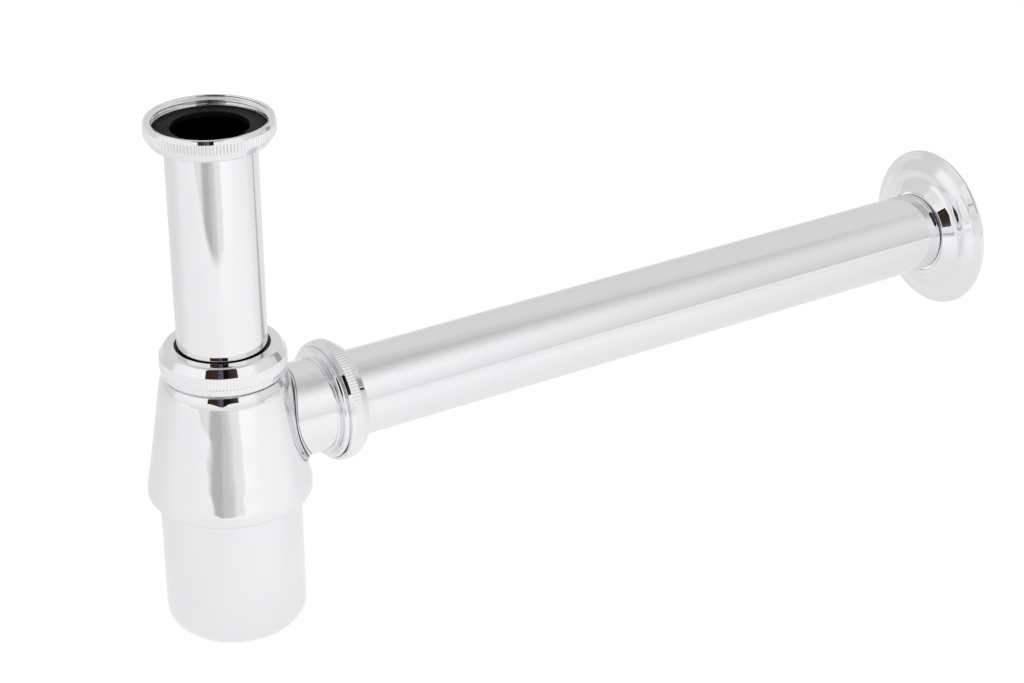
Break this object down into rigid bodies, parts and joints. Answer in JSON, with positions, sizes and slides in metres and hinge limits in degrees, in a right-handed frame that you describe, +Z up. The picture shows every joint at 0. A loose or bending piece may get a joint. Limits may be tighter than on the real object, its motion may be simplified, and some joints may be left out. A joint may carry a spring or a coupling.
{
  "type": "bottle trap",
  "caption": "Chrome basin bottle trap: inlet pipe with knurled union nuts, bell-shaped body, screw-off cup and long outlet pipe with wall flange.",
  "frame": {"origin": "middle of the inlet washer's top face, where the basin waste lands", "axes": "+Z up along the inlet pipe, towards the basin; +X along the outlet pipe, towards the wall"},
  "size_m": [0.3695, 0.065, 0.1957],
  "materials": {
    "chrome_plate": "polished",
    "black_rubber": "satin",
    "slip_plastic": "matte"
  },
  "bodies": {
    "inlet_nut": {"inlet_nut": "chrome_plate", "inlet_washer": "black_rubber"},
    "inlet_pipe": {"inlet_pipe": "chrome_plate"},
    "trap_body": {"trap_body": "chrome_plate"},
    "neck_seal": {"neck_seal": "black_rubber", "neck_washer": "slip_plastic"},
    "neck_nut": {"neck_nut": "chrome_plate"},
    "cup_seal": {"cup_seal": "black_rubber"},
    "cup": {"cup": "chrome_plate"},
    "outlet_seal": {"outlet_seal": "black_rubber", "outlet_washer": "slip_plastic"},
    "outlet_nut": {"outlet_nut": "chrome_plate"},
    "outlet_pipe": {"outlet_pipe": "chrome_plate"},
    "wall_flange": {"wall_flange": "chrome_plate"}
  },
  "joints": [
    {"name": "inlet_swivel", "type": "hinge", "parent": "inlet_nut", "child": "inlet_pipe", "pos_m": [0, 0, 0], "axis": [0, 0, 1], "continuous": true},
    {"name": "body_height", "type": "slide", "parent": "inlet_pipe", "child": "trap_body", "axis": [0, 0, 1], "range_m": [-0.035, 0.01]},
    {"name": "neck_seal_lift", "type": "slide", "parent": "trap_body", "child": "neck_seal", "axis": [0, 0, 1], "range_m": [0, 0.0064]},
    {"name": "neck_nut_turn", "type": "hinge", "parent": "neck_seal", "child": "neck_nut", "pos_m": [0, 0, -0.086], "axis": [0, 0, 1], "range_deg": [0, 960]},
    {"name": "cup_seal_drop", "type": "slide", "parent": "trap_body", "child": "cup_seal", "axis": [0, 0, -1], "range_m": [0, 0.0065]},
    {"name": "cup_turn", "type": "hinge", "parent": "cup_seal", "child": "cup", "pos_m": [0, 0, -0.16], "axis": [0, 0, -1], "range_deg": [0, 980]},
    {"name": "outlet_seal_travel", "type": "slide", "parent": "trap_body", "child": "outlet_seal", "axis": [1, 0, 0], "range_m": [0, 0.0045]},
    {"name": "outlet_nut_turn", "type": "hinge", "parent": "outlet_seal", "child": "outlet_nut", "pos_m": [0.043, 0, -0.1155], "axis": [1, 0, 0], "range_deg": [0, 660]},
    {"name": "outlet_pipe_reach", "type": "slide", "parent": "trap_body", "child": "outlet_pipe", "axis": [1, 0, 0], "range_m": [-0.008, 0.01]},
    {"name": "wall_flange_slide", "type": "slide", "parent": "outlet_pipe", "child": "wall_flange", "axis": [1, 0, 0], "range_m": [-0.24, 0.008]}
  ],
  "couplings": [
    {"joint": "neck_seal_lift", "follows": "neck_nut_turn", "m_per_rad": 0.0003675},
    {"joint": "cup_seal_drop", "follows": "cup_turn", "m_per_rad": 0.0003675},
    {"joint": "outlet_seal_travel", "follows": "outlet_nut_turn", "m_per_rad": 0.0003675}
  ]
}
